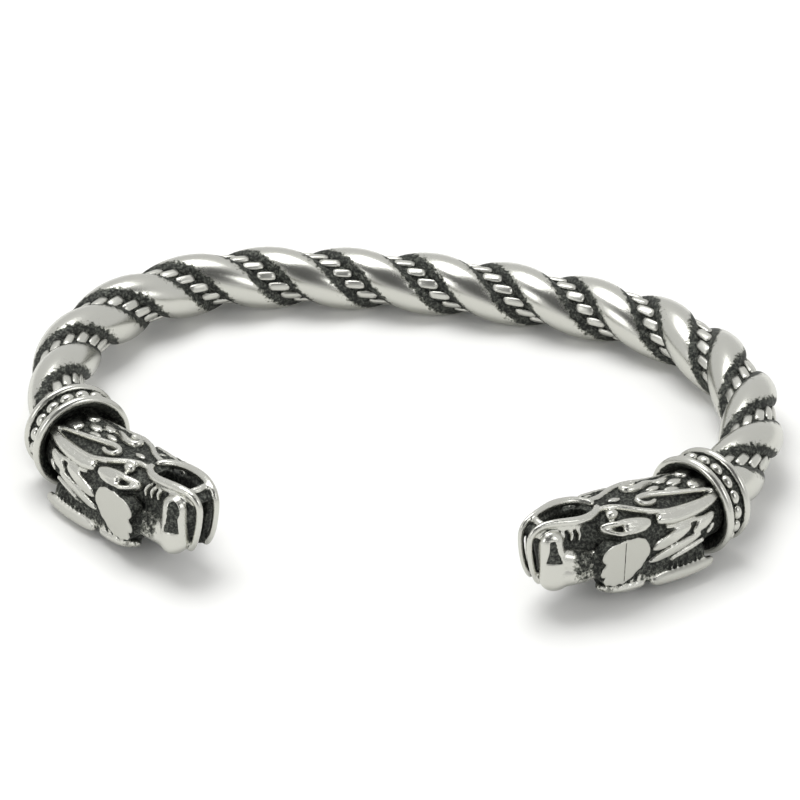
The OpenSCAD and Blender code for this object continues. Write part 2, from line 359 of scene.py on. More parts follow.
def endTree(tree, geometry, material):
    # every tree ends in real geometry with its material on it
    real = addNode(tree, "GeometryNodeRealizeInstances", {"Geometry": geometry})
    painted = addNode(tree, "GeometryNodeSetMaterial", {"Geometry": real, "Material": material})
    addNode(tree, "NodeGroupOutput", {"Geometry": painted})
    return tree


def runTree(source, tree, values, name):
    modifier = source.modifiers.new(tree.name, "NODES")
    modifier.node_group = tree
    for item in tree.interface.items_tree:
        if item.in_out == "INPUT" and item.name in values:
            modifier[item.identifier] = values[item.name]
    return flatten(source, name)


def settle(piece, matrix, slotName, *nodes):
    # puts a finished piece in its place and hands it to the frame
    piece.data.transform(matrix)
    if matrix.determinant() < 0:
        piece.data.flip_normals()
    piece.data.shade_smooth()
    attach(piece, "root")
    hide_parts(*nodes)
    print("made", piece.name, len(piece.data.polygons), "faces")


def spiralPath(name, start, radius, half, step):
    # a line of points along the rope at one side, each with the directions outwards and along
    count = 2 * round(half / step)
    places = [half * (2 * i / count - 1) for i in range(count + 1)]
    spokes = [spokeAt(s, start) for s in places]
    verts = [centreAt(s) + radius * d for s, d in zip(places, spokes)]
    path = meshObject(name, verts, (), [(i, i + 1) for i in range(count)])
    alongs = [outwardAt(s).cross(Vector((0, 0, 1))) for s in places]
    for label, rows in (("spoke", spokes), ("along", alongs)):
        layer = path.data.attributes.new(label, "FLOAT_VECTOR", "POINT")
        layer.data.foreach_set("vector", [c for row in rows for c in row])
    return path


def ropeDistance(points):
    # distance of each point from the hoop's centre line
    big, small, bend = hoop["backRadius"], hoop["sideRadius"], math.radians(hoop["backAngle"])
    x, y, z = np.abs(points[:, 0]), points[:, 1], points[:, 2]
    fromBack = y - (small - big)
    sideX, sideY = (big - small) * math.sin(bend), small - big + (big - small) * math.cos(bend)
    flat = np.where(
        np.arctan2(x, fromBack) < bend,
        np.hypot(x, fromBack) - big,
        np.hypot(x - sideX, y - sideY) - small,
    )
    return np.hypot(flat, z)


def settleOnRope(piece, sizes, slotName, node):
    # leaves the black on what lies near the rope's middle, then settles the piece
    reach = ropeDistance(pointsOf(piece.data))
    setShare(piece.data, "soot", 1 - smoothStep(sizes["blackBelow"], sizes["brightAbove"], reach))
    settle(piece, laid, slotName, node)


# The twisted rods

rod = {
    "width": 3.9,            # across a rod, square to its own length
    "height": 3.0,
    "reach": 1.72,           # from the rope's middle to the rod's
    "sides": 40,
    "step": 0.4,             # between rings, along the rope
    "wobble": 0.014,         # unevenness of the casting
    "wobbleSize": 5.0,
    "blackBelow": 2.62,      # antiquing covers what lies nearer to the rope's middle than this
    "brightAbove": 3.24,
}


def sweepTree():
    tree = newTree(
        "sweptRod", Float=("Width", "Height", "Wobble", "Wobble size"), Int=("Sides",),
        Material=("Material",))
    given = addNode(tree, "NodeGroupInput").outputs
    line = addNode(tree, "GeometryNodeMeshToCurve", {"Mesh": given["Geometry"]})
    spoke = addNode(tree, "GeometryNodeInputNamedAttribute", {"Name": "spoke"}, data_type="FLOAT_VECTOR")
    turned = addNode(tree, "GeometryNodeSetCurveNormal", {"Curve": line, "Normal": spoke}, mode="FREE")
    circle = addNode(tree, "GeometryNodeCurvePrimitiveCircle", {
        "Resolution": given["Sides"], "Radius": 0.5}, mode="RADIUS")
    size = addNode(tree, "ShaderNodeCombineXYZ", {"X": given["Height"], "Y": given["Width"], "Z": 1.0})
    section = addNode(tree, "GeometryNodeTransform", {"Geometry": circle, "Scale": size})
    swept = addNode(tree, "GeometryNodeCurveToMesh", {
        "Curve": turned, "Profile Curve": section, "Fill Caps": True})
    detail = addNode(tree, "ShaderNodeMath", {0: 1.0, 1: given["Wobble size"]}, operation="DIVIDE")
    noise = addNode(tree, "ShaderNodeTexNoise", {"Scale": detail, "Detail": 1.0})
    centred = addNode(tree, "ShaderNodeMath", {0: noise, 1: 0.5}, operation="SUBTRACT")
    amount = addNode(tree, "ShaderNodeMath", {0: centred, 1: given["Wobble"]}, operation="MULTIPLY")
    normal = addNode(tree, "GeometryNodeInputNormal")
    shift = addNode(tree, "ShaderNodeVectorMath", {0: normal, "Scale": amount}, operation="SCALE")
    moved = addNode(tree, "GeometryNodeSetPosition", {"Geometry": swept, "Offset": shift})
    return endTree(tree, moved, given["Material"])


def makeRod(name, start, node):
    path = spiralPath(name + "Path", start, rod["reach"], ropeHalf, rod["step"])
    piece = runTree(path, sweepRod, {
        "Width": rod["width"], "Height": rod["height"], "Sides": rod["sides"],
        "Wobble": 2 * rod["wobble"], "Wobble size": rod["wobbleSize"], "Material": rodSteel,
    }, name)
    settleOnRope(piece, rod, "strand", node)


sweepRod = sweepTree()
makeRod("rodA", hoop["start"], "strand_a")
makeRod("rodB", hoop["start"] + 180, "strand_b")

# The beaded wires

wire = {
    "reach": 1.5,            # from the rope's middle to the middle of the bed that the beads stand on
    "bedWidth": 2.6,
    "bedHeight": 1.35,
    "bedSides": 16,
    "beadReach": 1.98,
    "beadLong": 1.95,        # along the rope
    "beadWide": 0.84,        # along the wire
    "beadHigh": 0.9,
    "block": 1.16,           # side of the cube that a bead is rounded from
    "crease": 0.34,          # how much of its edges stays
    "beadsATurn": 13,
    "uneven": 0.09,
    "blackBelow": 2.14,
    "brightAbove": 2.4,
}


def beadTree():
    tree = newTree(
        "beadRow", Int=("Count", "Seed"), Float=("Long", "Wide", "High", "Uneven"), Material=("Material",))
    given = addNode(tree, "NodeGroupInput").outputs
    line = addNode(tree, "GeometryNodeMeshToCurve", {"Mesh": given["Geometry"]})
    spaced = addNode(tree, "GeometryNodeResampleCurve", {
        "Curve": line, "Count": given["Count"]}, mode="COUNT")
    spoke, along = (
        addNode(tree, "GeometryNodeInputNamedAttribute", {"Name": label}, data_type="FLOAT_VECTOR")
        for label in ("spoke", "along"))
    turn = addNode(tree, "FunctionNodeAxesToRotation", {
        "Primary Axis": spoke, "Secondary Axis": along}, primary_axis="Z", secondary_axis="X")
    cube = addNode(tree, "GeometryNodeMeshCube", {"Size": (wire["block"],) * 3})
    bead = addNode(tree, "GeometryNodeSubdivisionSurface", {
        "Mesh": cube, "Level": 2, "Edge Crease": wire["crease"]})
    size = addNode(tree, "ShaderNodeCombineXYZ", {
        "X": given["Long"], "Y": given["Wide"], "Z": given["High"]})
    limits = []
    for operation in ("SUBTRACT", "ADD"):
        share = addNode(tree, "ShaderNodeMath", {0: 1.0, 1: given["Uneven"]}, operation=operation)
        limits.append(addNode(tree, "ShaderNodeVectorMath", {0: size, "Scale": share}, operation="SCALE"))
    chance = addNode(tree, "FunctionNodeRandomValue", {
        "Min": limits[0], "Max": limits[1], "Seed": given["Seed"]}, data_type="FLOAT_VECTOR")
    beads = addNode(tree, "GeometryNodeInstanceOnPoints", {
        "Points": spaced, "Instance": bead, "Rotation": turn, "Scale": chance.outputs["Value"]})
    return endTree(tree, beads, given["Material"])


def makeWire(name, start, seed, node):
    half = ropeHalf - wire["beadLong"] / 2
    bedPath = spiralPath(name + "Path", start, wire["reach"], ropeHalf, rod["step"])
    bed = runTree(bedPath, sweepRod, {
        "Width": wire["bedWidth"], "Height": wire["bedHeight"], "Sides": wire["bedSides"],
        "Wobble": 0.0, "Wobble size": rod["wobbleSize"], "Material": beadSteel,
    }, name + "Bed")
    beadPath = spiralPath(name + "BeadPath", start, wire["beadReach"], half, rod["step"])
    beads = runTree(beadPath, beadRow, {
        "Count": round(2 * half * wire["beadsATurn"] / hoop["pitch"]), "Long": wire["beadLong"],
        "Wide": wire["beadWide"], "High": wire["beadHigh"], "Uneven": wire["uneven"], "Seed": seed,
        "Material": beadSteel,
    }, name + "Beads")
    settleOnRope(joined(name, [bed, beads]), wire, "beaded_wire", node)


beadRow = beadTree()
makeWire("beadedWireA", hoop["start"] + 90, 3, "beaded_wire_a")
makeWire("beadedWireB", hoop["start"] + 270, 8, "beaded_wire_b")

# The collars


def arc(x, r, radius, low, high, count):
    steps = [math.radians(low + (high - low) * i / count) for i in range(count + 1)]
    return [(x + radius * math.cos(a), r + radius * math.sin(a)) for a in steps]


def collarProfile():
    # half section of a collar, as (along its axis, radius), from the inside of its back round to its recess
    frontHalf, backHalf = collar["rimHalf"], collar["backRimHalf"]
    frontX, backX = collar["rimPlace"], backHalf - collar["back"]
    bore = hoop["ropeRadius"] + collar["boreGap"]
    fillet, rise = collar["fillet"], collar["filletRise"]
    points = [(-hoop["webBack"], 0.0), (-hoop["webBack"], bore), (-collar["back"], bore)]
    points += [(-collar["back"], collar["backFace"])]
    points += arc(backX, collar["backRim"] - backHalf, backHalf, 180, 0, 12)
    points += arc(backX + backHalf + fillet, collar["floor"] + rise, fillet, 180, 270, 3)
    points += arc(frontX - frontHalf - rise, collar["floor"] + rise, fillet, 270, 360, 3)
    points += arc(frontX, collar["rimRadius"] - frontHalf, frontHalf, 180, -50, 20)
    return points + collar["recess"]


def pearlTree():
    tree = newTree(
        "pearlRing", Int=("Count",), Float=("Radius", "Start"), Vector=("Size",), Material=("Material",))
    given = addNode(tree, "NodeGroupInput").outputs
    ring = addNode(tree, "GeometryNodeMeshCircle", {"Vertices": given["Count"], "Radius": given["Radius"]})
    around = addNode(tree, "GeometryNodeInputPosition")
    turn = addNode(tree, "FunctionNodeAxesToRotation", {
        "Primary Axis": around, "Secondary Axis": (0.0, 0.0, 1.0)}, primary_axis="Z", secondary_axis="X")
    ball = addNode(tree, "GeometryNodeMeshUVSphere", {"Segments": 16, "Rings": 10, "Radius": 1.0})
    pearls = addNode(tree, "GeometryNodeInstanceOnPoints", {
        "Points": ring, "Instance": ball, "Rotation": turn, "Scale": given["Size"]})
    real = addNode(tree, "GeometryNodeRealizeInstances", {"Geometry": pearls})
    marked = addNode(tree, "GeometryNodeStoreNamedAttribute", {
        "Geometry": real, "Name": "pearl", "Value": 1.0}, data_type="FLOAT", domain="POINT")
    spin = addNode(tree, "ShaderNodeCombineXYZ", {"Z": given["Start"]})
    turned = addNode(tree, "GeometryNodeTransform", {"Geometry": marked, "Rotation": spin})
    both = addNode(tree, "GeometryNodeJoinGeometry")
    for part in (turned.outputs["Geometry"], given["Geometry"]):
        tree.links.new(part, both.inputs["Geometry"])
    return endTree(tree, both, given["Material"])


def makeCollar(name, start, mirrored, node):
    segments = collar["segments"]
    profile = collarProfile()
    verts, faces = [], []
    for i in range(segments):
        a = 2 * math.pi * i / segments
        verts += [(r * math.cos(a), r * math.sin(a), x) for x, r in profile]
    n = len(profile)
    for i in range(segments):
        k = (i + 1) % segments
        faces += [(i * n + j, i * n + j + 1, k * n + j + 1, k * n + j) for j in range(n - 1)]
    body = meshObject(name + "Body", verts, faces)
    turnOut(body.data, collar["merge"])
    piece = runTree(body, pearlRing, {
        "Count": collar["pearls"], "Radius": collar["pearlReach"], "Start": math.radians(-start),
        "Size": (collar["pearlWide"], collar["pearlLong"], collar["pearlHigh"]), "Material": collarSteel,
    }, name)
    points = pointsOf(piece.data)
    over = np.hypot(points[:, 0], points[:, 1]) - collar["floor"]
    onPearl = rowsOf(piece.data.attributes["pearl"].data, "value", 1)[:, 0] > 0.5
    bright = np.where(
        onPearl, smoothStep(*collar["pearlBlack"], over), smoothStep(*collar["grooveBlack"], over))
    setShare(piece.data, "soot", 1 - bright)
    # the collar was turned about Z: its axis goes to X, and its X goes up
    stand = Matrix(((0, 0, 1, 0), (0, 1, 0, 0), (1, 0, 0, 0), (0, 0, 0, 1)))
    matrix = laid @ (mirrorX if mirrored else Matrix()) @ endMatrix(0, 0, 0) @ stand
    settle(piece, matrix, "collar", node)


pearlRing = pearlTree()
makeCollar("collarLeft", collar["startLeft"], True, "collar_left")
makeCollar("collarRight", collar["startRight"], False, "collar_right")

# The dragon heads, drawn in their own frame: u along the snout, v outwards and w up, in millimetres

# Sections of the skull: place along the head, half width, top, bottom, squareness
skull = [
    (0.3, 3.35, 2.85, -3.3, 2.0),
    (1.1, 3.4, 2.9, -3.4, 2.0),
    (3.0, 3.6, 3.0, -3.75, 2.2),
    (7.0, 3.85, 3.15, -4.0, 2.5),
    (10.0, 4.0, 3.3, -4.0, 2.7),
    (13.0, 3.85, 3.6, -3.85, 2.7),
    (14.7, 2.6, 3.65, -3.6, 2.4),
    (17.0, 2.2, 3.7, -3.4, 2.4),
    (19.5, 1.9, 3.7, -3.2, 2.4),
    (20.5, 1.2, 3.5, -2.8, 2.4),
]
lean = {"share": 0.2, "start": 12.5, "full": 18.0}
skullTable = np.array(skull)


def leanAt(u):
    return lean["share"] * np.clip((u - lean["start"]) / (lean["full"] - lean["start"]), 0, 1)


def skinAt(u, angle, lift=0.0):
    # a point of the skull's skin: angle 0 is on top, 90 on the outer side and 180 below
    u, angle = np.asarray(u, float), np.radians(np.asarray(angle, float))
    half, top, bottom, power = (np.interp(u, skullTable[:, 0], skullTable[:, k]) for k in (1, 2, 3, 4))
    middle, tall = (top + bottom) / 2, (top - bottom) / 2
    s, c = np.sin(angle), np.cos(angle)
    reach = (np.abs(s) ** power + np.abs(c) ** power) ** (-1 / power)
    v, w = half * reach * s, tall * reach * c
    k = 1 + lift / np.hypot(v, w)
    w = k * w + middle
    return np.stack([u + leanAt(u) * w, k * v, w], -1)


def outAt(u, angle):
    d = skinAt(u, angle, 1.0) - skinAt(u, angle)
    return d / np.linalg.norm(d, axis=-1, keepdims=True)


def smoothRows(rows, count):
    # rows of a table, drawn out into a smooth run of count rows that passes through each
    table = np.array(rows, float)
    t = np.linspace(0, len(table) - 1, count)
    i = np.clip(t.astype(int), 0, len(table) - 2)
    f = (t - i)[:, None]
    a = table[np.clip(i - 1, 0, None)]
    b, c = table[i], table[i + 1]
    d = table[np.clip(i + 2, None, len(table) - 1)]
    square, cube = 2 * a - 5 * b + 4 * c - d, 3 * b - a - 3 * c + d
    return 0.5 * (2 * b + (c - a) * f + square * f ** 2 + cube * f ** 3)


def travelOf(points):
    # direction of a line at each of its points
    travel = np.gradient(points, axis=0)
    return travel / np.linalg.norm(travel, axis=1, keepdims=True)


class Clay:
    # closed solids that are pressed together into one casting later
    def __init__(self):
        self.verts, self.faces = [], []

    def loft(self, rings):
        start, n = len(self.verts), len(rings[0])
        for ring in rings:
            self.verts += [tuple(p) for p in ring]
        for j in range(len(rings) - 1):
            for i in range(n):
                k = (i + 1) % n
                a, b = start + j * n, start + (j + 1) * n
                self.faces.append((a + i, a + k, b + k, b + i))
        last = start + (len(rings) - 1) * n
        self.faces.append(tuple(start + n - 1 - i for i in range(n)))
        self.faces.append(tuple(last + i for i in range(n)))

    def sweep(self, points, rises, halfWide, halfHigh, sides=12):
        # round bar along points, with rounded ends
        travel = travelOf(points)
        length = np.r_[0, np.cumsum(np.linalg.norm(np.diff(points, axis=0), axis=1))]
        # each end closes over its own radius
        ends = np.minimum(length, length[-1] - length)
        cap = np.maximum(np.minimum(halfWide, halfHigh), 0.05)
        close = np.sqrt(np.clip(1 - (1 - np.clip(ends / cap, 0, 1)) ** 2, 0.02, 1))
        a = 2 * np.pi * (np.arange(sides) + 0.5) / sides
        rings = []
        for p, t, up, w, h, k in zip(points, travel, rises, halfWide, halfHigh, close):
            side = np.cross(up, t)
            side /= np.linalg.norm(side)
            rise = np.cross(t, side)
            rings.append(p + k * (w * np.cos(a)[:, None] * side + h * np.sin(a)[:, None] * rise))
        self.loft(rings)

    def ridge(self, rows, count=48, sunk=0.3, sides=12):
        # raised line on the skin; rows: place along the head, angle around it, width, height
        t = smoothRows(rows, count)
        high = (t[:, 3] + sunk) / 2
        outs = outAt(t[:, 0], t[:, 1])
        points = skinAt(t[:, 0], t[:, 1]) + (high - sunk)[:, None] * outs
        self.sweep(points, outs, t[:, 2] / 2, high, sides)

    def pipe(self, rows, rise, count=40, flat=1.0, sides=14):
        # free line through the head's frame; rows: along, outwards, up, radius
        t = smoothRows(rows, count)
        points = t[:, :3]
        rises, up = [], np.array(rise, float)
        for way in travelOf(points):
            # carried along the line, so that the bar never twists
            up = up - way * up.dot(way)
            up = up / np.linalg.norm(up)
            rises.append(up)
        self.sweep(points, rises, t[:, 3], t[:, 3] * flat, sides)

    def ball(self, place, radii, sides=16, steps=12):
        # oval ball; radii along, outwards and up
        rings = []
        b = 2 * np.pi * np.arange(sides) / sides
        for j in range(1, steps):
            a = math.pi * j / steps
            rings.append(np.array(place) + np.stack([
                np.full(sides, radii[0] * math.cos(a)), radii[1] * math.sin(a) * np.cos(b),
                -radii[2] * math.sin(a) * np.sin(b)], -1))
        self.loft(rings)

    def capsule(self, start, end, startRadius, endRadius, sides=24, steps=8):
        start, end = np.array(start, float), np.array(end, float)
        way = (end - start) / np.linalg.norm(end - start)
        side = np.cross(way, (0, 1, 0))
        side /= np.linalg.norm(side)
        rise = np.cross(way, side)
        a = 2 * np.pi * np.arange(sides) / sides
        circle = np.cos(a)[:, None] * side + np.sin(a)[:, None] * rise
        rings = []
        turns = [math.pi / 2 * k / steps for k in range(steps + 1)]
        for b in turns[1:]:
            rings.append(start - way * startRadius * math.cos(b) + circle * startRadius * math.sin(b))
        for b in turns[:-1]:
            rings.append(end + way * endRadius * math.sin(b) + circle * endRadius * math.cos(b))
        self.loft(rings)

    def leaf(self, u, angle, length, width, high=0.5, skew=0.0, slant=0.0, blunt=1.0, sides=24):
        # raised scale on the skin: skew turns it around the head, slant cuts its ends askew
        # and blunt squares them
        turn = math.degrees(width / 2 / float(np.linalg.norm(skinAt(u, angle)[1:])))
        domed = [(1.0, -0.3), (1.0, 0.1), (0.93, high * 0.85), (0.72, high), (0.1, high * 1.04)]
        rings = []
        for share, lift in domed:
            ring = []
            for i in range(sides):
                a = -2 * math.pi * i / sides
                x, y = (share * math.copysign(abs(k) ** blunt, k) for k in (math.cos(a), math.sin(a)))
                x += slant * y
                ring.append(skinAt(u + x * length / 2, angle + y * turn + skew * x, lift))
            rings.append(ring)
        self.loft(rings)


# Rows of a ridge: place along the head, angle around it, width, height
ridges = {
    "earOuter": [
        (0.2, 42.5, 0.8, 0.85), (1.6, 48, 1.1, 1.0), (3.3, 51.5, 1.15, 1.05), (5.0, 53.2, 1.15, 1.05),
        (6.8, 52.5, 1.15, 1.05), (8.0, 50, 1.0, 0.95), (8.7, 48, 0.8, 0.85),
    ],
    "brow": [
        (0.3, 39, 0.45, 0.85), (1.5, 41.5, 0.5, 0.95), (3.0, 43.5, 0.55, 1.0), (5.4, 43.5, 0.6, 1.05),
        (7.6, 41, 0.62, 1.02), (9.2, 34.5, 0.66, 0.95), (10.6, 26.5, 0.66, 0.9), (11.8, 18.5, 0.66, 0.85),
        (12.9, 14.5, 0.64, 0.85), (13.8, 17, 0.6, 0.8), (14.2, 24, 0.45, 0.65),
    ],
    "earInner": [
        (0.3, 40, 0.5, 0.85), (1.4, 32.5, 0.56, 0.85), (3.5, 26, 0.58, 0.85), (5.3, 20, 0.62, 0.82),
        (6.9, 13.5, 0.66, 0.8), (8.1, 10, 0.72, 0.8), (9.1, 12.5, 0.72, 0.8), (9.2, 20.5, 0.64, 0.8),
        (8.3, 25, 0.58, 0.75), (7.4, 22.5, 0.6, 0.75),
    ],
    "cheekLoop": [
        (9.4, 48, 0.7, 0.9), (10.3, 43.8, 0.75, 1.05), (11.7, 41.5, 0.75, 1.1), (12.9, 41.5, 0.7, 1.05),
        (13.9, 44, 0.65, 1.0), (14.3, 48.5, 0.62, 0.95), (13.6, 53.5, 0.62, 0.95), (12.2, 55, 0.62, 0.95),
        (10.9, 54, 0.65, 0.9), (9.9, 51.5, 0.65, 0.85),
    ],
    "cheekFill": [
        (9.4, 49, 0.7, 0.85), (10.3, 48.5, 1.1, 1.0), (11.6, 48, 1.15, 1.0), (12.5, 47.5, 0.7, 0.9),
    ],
    "sideFold": [(2.8, 107, 0.5, 0.5), (4.6, 112, 0.7, 0.62), (6.6, 117, 0.7, 0.62), (8.6, 121, 0.4, 0.5)],
    "foldHigh": [(1.9, 67, 0.35, 0.35), (4.2, 66.5, 0.45, 0.45), (6.2, 65, 0.42, 0.42), (7.8, 62, 0.3, 0.3)],
}
# Share of their height that lines keep on the side by the wrist, behind and ahead of the ear's curl
flatter = {
    "earOuter": (0.4, 0.4), "brow": (0.4, 0.6), "earInner": (0.4, 1.0), "cheekLoop": (0.4, 0.4),
    "cheekFill": (0.3, 0.3),
}

# Scales of the neck: place along the head, angle, length, width, height, skew, slant, blunt
sideLeaves = [
    (7.0, 80, 4.9, 1.35, 0.55, 5, 0.22, 0.95),
    (2.9, 76, 2.7, 1.35, 0.5, 4, 0.3, 0.85),
    (6.5, 100, 6.6, 1.2, 0.55, 6, 0.2, 1.0),
    (2.1, 92, 1.0, 0.9, 0.4, 3, 0.3, 0.9),
]
topLeaves = [
    (4.0, 0, 2.0, 0.8, 0.5, 0, 0, 1.2), (6.6, 0, 1.8, 0.55, 0.45, 0, 0, 1.3),
    (11.2, 0, 1.6, 0.55, 0.4, 0, 0, 1.2),
]
pairedTopLeaves = [
    (2.1, 17, 2.2, 1.25, 0.55, -3, 0, 1.15), (4.9, 12.5, 1.8, 0.62, 0.45, -3, 0, 1.2),
]
bellyLeaves = [(4.0, 180, 2.8, 2.0, 0.45, 0), (7.4, 180, 2.8, 2.2, 0.45, 0), (10.8, 180, 2.8, 2.2, 0.45, 0)]

# Rows of the lip: along, outwards, up, radius
lipRows = [
    (13.4, 0.15, 3.8, 0.38), (13.9, 0.9, 3.9, 0.42), (14.9, 1.5, 4.0, 0.44), (16.1, 1.76, 4.05, 0.45),
    (17.5, 1.72, 4.1, 0.45), (18.9, 1.5, 4.1, 0.44), (20.2, 1.22, 3.95, 0.42), (21.1, 1.04, 3.5, 0.38),
    (21.5, 0.96, 2.6, 0.35), (21.4, 0.95, 1.0, 0.34), (21.0, 0.95, -0.8, 0.34), (20.5, 0.93, -2.0, 0.34),
    (20.0, 0.92, -2.7, 0.32),
]

# Rows of the beard, and of the lower jaw's rim in front of it
beardRows = [
    (2.0, 4.15, -3.7, 0.38), (2.9, 4.3, -3.9, 0.58), (4.8, 4.3, -4.05, 0.68), (7.2, 4.15, -4.1, 0.7),
    (8.6, 4.0, -4.15, 0.6), (9.3, 3.9, -4.15, 0.36),
]
jawRows = [
    (9.9, 3.85, -4.0, 0.36), (10.6, 3.85, -4.0, 0.46), (12.2, 3.7, -3.95, 0.5), (13.6, 3.4, -3.8, 0.46),
    (14.9, 2.7, -3.4, 0.4),
]

# Rows of a wrinkle behind a bulge: shift along the head, angle around it, height
wrinkleRows = [(0.3, 36, 0.3), (0.05, 43, 0.65), (-0.05, 51, 0.7), (0.15, 60, 0.4)]

# Outline of the flat cheek plate, as place along the head and height
plateOutline = [
    (9.8, 0.25), (10.1, 0.9), (10.4, 1.45), (11.0, 1.75), (11.4, 1.95), (12.2, 1.95), (12.7, 2.1),
    (13.4, 1.95), (14.2, 1.95), (14.9, 1.6), (15.35, 1.2), (15.5, 0.6), (15.25, 0.15), (14.85, -0.05),
    (15.4, -0.5), (15.6, -1.05), (15.45, -1.4), (14.95, -1.55), (15.25, -1.95), (15.0, -2.4),
    (14.5, -2.55), (14.1, -2.8), (13.4, -2.75), (12.9, -2.95), (12.3, -2.6), (11.8, -2.45),
    (11.3, -1.95), (10.8, -1.65), (10.4, -1.1), (9.9, -0.55),
]

head = {
    "voxel": 0.115,
    "soften": 1,
    "skullSides": 48,
    "skullRings": 70,
    "webSpots": ((106, -0.1), (134, -1.0)),   # where the web meets the skull: angle and lift
    "webFoot": (0.1, 0.35),         # how far its foot lies in and up from the beard's middle
    "eye": (27.5, 0.42, (0.72, 0.54, 0.54)),  # angle, lift and radii
    "innerEye": (27.5, -0.05, (0.6, 0.42, 0.42)),
    "hairs": 25,
    "hairTop": (106, 0.02),         # angle and lift of the line that they hang from
    "hairBegins": 0.4,              # share of the way down from it
    "hairFoot": (0.25, 0.06, -0.1),
    "hairRadii": (0.1, 0.12),
    "teeth": 5,
    "tooth": (10.7, 3.75, -3.3),    # place of the hindmost
    "toothStep": (0.8, 0.12),       # ahead, and up for each second one
    "toothRadii": (0.27, 0.4, 0.42),
    "lipRoot": (0.55, 0.06),        # how far the foot of the lips lies below them, and how much thinner it is
    "wrinkles": ((0, 0.34), (0.7, 0.38), (1.45, 0.38)),  # each one's place ahead of the hindmost, and width
    "wrinkleEnd": 0.3,              # width of its ends
    "inner": 0.8,                   # size of the bulges by the wrist, as a share of the outer ones
    "curl": 6.0,                    # place at which the ear's curl begins
    "bar": (20.0, 1.0, 3.9, 0.38),  # bar that closes the mouth in front: along, half width, up and radius
    "barBow": 0.15,
    "hole": (17.0, 2.5, 1.24, 2.0),  # mouth seen from above: middle, half length, half width, floor
    "holeTaper": 0.12,
    "slot": (18.4, 0.5, 2.9),       # gap between the lips: from, half width, top
    "clear": (23.5, -5.0, 5.4),     # ahead of, below and above all of the head, for the cuts
    "plateBack": 2.9,
    "plateLevel": 4.5,
    "line": 12.8,                   # place of the hairline on the right plate
    "lineHalf": (0.07, 0.05),       # half its width, at its top and foot
    "lineDeep": 0.16,
    "lineEnds": (-2.6, 1.8),
    "dentAndPaintedReflection": (19.8, 1.6, 0.62, 0.18),  # dent in a bulge, painted full black as a dark reflection: along, up, half width, depth
    "dentSlant": 0.1,
    "dentEdge": (0.8, 1.1),         # shares of its size between which it runs out
    "dentFrom": (2.4, 2.6),         # distances from the head's middle between which it begins
    "bent": (13.5, 20.5),           # the snout is bent from here to here
    "narrowed": (16.5, 20.5),
}

# Where the black stays on a head, in millimetres
black = {
    "skin": (0.12, 0.42),           # heights over the skull's skin between which it is polished off
    "hollow": (0.02, 0.11),         # depths of a hollow between which it sets in
    "hollowRounds": 24,             # how wide a hollow is looked for
    "holeRim": (0.3, 0.5),          # how far it reaches round the mouth, along and outwards
    "holeTop": (3.85, 4.1),
    "plateWall": (12.8, -0.4, 3.2, 2.9),   # wall round the plate: along, up and its half sizes
    "plateIn": (0.2, 0.14),         # bright part of that wall, at its back and at the plate's face
    "plateEdge": (0.16, 0.06),      # depths below the plate's face between which its polish begins
    "neck": (15.8, 2.9, 0.6),       # half blackened end of a bulge's neck: middle, half length, soot
    "neckEnds": (0.5, 1.0),         # shares of that length between which it runs out
    "neckBounds": (2.2, 1.6),       # it lies further out than this, and lower
    "neckFoot": (-2.2, -0.6),       # heights between which it grows from half to full
    "line": (0.065, 0.03, 0.3),     # the hairline: half width, and from and to which depth
}

# The two castings differ a little, chiefly in the snout, which was bent and ground by hand
casting = {
    "left": {
        "lift": 0.72,         # how far the snout's tip is bent up
        "reach": 0.3,         # and forwards
        "spread": 1.04,       # width of the tip
        "bulgeTop": (19.1, 1.85, 2.15, 1.42),     # along, outwards, up and radius
        "bulgeFoot": (19.0, 1.95, -1.5, 1.5),
        "neck": (14.0, 2.45, -0.85, 1.35),        # back end of the bulge's neck
        "neckRise": 1.2,      # how high up the bulge its neck begins
        "dentTall": 1.75,     # half height of the dent
        "dentWidths": (1.2, 0.75, 1.2),           # share of its width at its foot, middle and top
        "eye": 12.3,          # place along the head
        "wrinkle": 15.0,      # place of the hindmost of the three behind the bulge
    },
    "right": {
        "lift": 0.3,
        "reach": 0.0,
        "spread": 0.76,
        "bulgeTop": (19.6, 1.9, 2.3, 1.25),
        "bulgeFoot": (19.2, 2.1, -1.7, 1.45),
        "neck": (14.0, 2.5, -0.8, 1.45),
        "neckRise": 2.0,
        "dentTall": 1.3,
        "dentWidths": (1.35, 0.7, 0.4),
        "eye": 12.9,
        "wrinkle": 16.4,
    },
}


def skullSolid():
    clay = Clay()
    sides = head["skullSides"]
    a = -360 * (np.arange(sides) + 0.5) / sides
    places = np.linspace(skull[0][0], skull[-1][0], head["skullRings"])
    clay.loft([skinAt(np.full(sides, u), a) for u in places])
    return clay


def webRings(sign):
    # web between the neck and the beard
    rings = []
    inwards, upwards = head["webFoot"]
    for u, v, w, _ in smoothRows(beardRows[1:] + jawRows, 20):
        high, low = (skinAt(u, *spot) for spot in head["webSpots"])
        ring = [(u, v, w), (u, v - inwards, w + upwards), tuple(high), tuple(low)]
        rings.append([(x, sign * y, z) for x, y, z in ring][::sign])
    return rings


